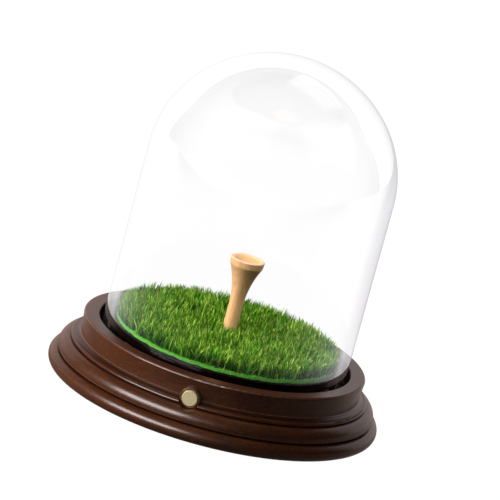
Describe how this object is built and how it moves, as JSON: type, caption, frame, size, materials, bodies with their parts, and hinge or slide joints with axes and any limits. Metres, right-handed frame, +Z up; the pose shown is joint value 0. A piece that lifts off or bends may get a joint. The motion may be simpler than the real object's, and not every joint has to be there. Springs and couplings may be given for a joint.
{
  "type": "golf ball display case",
  "caption": "Clear glass dome on a round turned wooden base, with a turf disc and a tee inside to hold a golf ball, and a push button in the front of the base.",
  "frame": {"origin": "centre of the plane the case stands on, under the middle of the felt pad", "axes": "+Z up along the dome's axis; the button faces -Y"},
  "size_m": [0.1136, 0.1136, 0.1211],
  "materials": {
    "lacquered_wood": "dark brown semi-gloss lacquer over fine-grained turned hardwood",
    "clear_glass": "clear polished blown glass",
    "stained_board": "dark stained, satin",
    "turf_backing": "bright green woven backing, matt",
    "turf_grass": "green artificial grass blades, slightly glossy",
    "tee_wood": "pale birch, satin varnish",
    "nickel": "warm satin nickel plate",
    "antique_brass": "dark bronze-brown plated brass, satin",
    "black_rubber": "black moulded rubber, matt",
    "green_baize": "dark green baize",
    "black_plastic": "fine matt moulded surface",
    "zinc_steel": "bright zinc plate",
    "spring_steel": "drawn spring wire",
    "circuit_board": "green solder mask",
    "lamp": "clear yellowish lens",
    "tin": "bright tin plate",
    "cell_steel": "bright stainless can"
  },
  "bodies": {
    "base": {"wood_base": "lacquered_wood", "bottom_cover": "black_plastic", "cover_screws": "zinc_steel", "felt_pad": "green_baize", "seat_ring": "black_rubber", "turf_board": "stained_board", "turf_backing": "turf_backing", "turf_pile": "turf_grass", "golf_tee": "tee_wood", "tee_screw": "zinc_steel", "button_bush": "antique_brass", "guide_washer": "antique_brass", "button_spring": "spring_steel", "control_board": "circuit_board", "board_spacers": "black_plastic", "board_screws": "zinc_steel", "switch_body": "black_plastic", "driver_chip": "black_plastic", "cell_holder": "black_plastic", "coin_cells": "cell_steel", "cell_contacts": "tin", "led_ring_board": "circuit_board", "rim_leds": "lamp", "link_pins": "tin"},
    "dome": {"glass_dome": "clear_glass"},
    "button": {"button_cap": "nickel", "button_stem": "zinc_steel", "switch_plunger": "black_plastic"}
  },
  "joints": [
    {"name": "dome_lift", "type": "slide", "parent": "base", "child": "dome", "axis": [0, 0, 1], "range_m": [0, 0.08]},
    {"name": "button_press", "type": "slide", "parent": "base", "child": "button", "axis": [0, 1, 0], "range_m": [0, 0.0008], "stiffness_N_per_m": 800, "springref_m": -0.001, "deforming": ["button_spring"]}
  ]
}
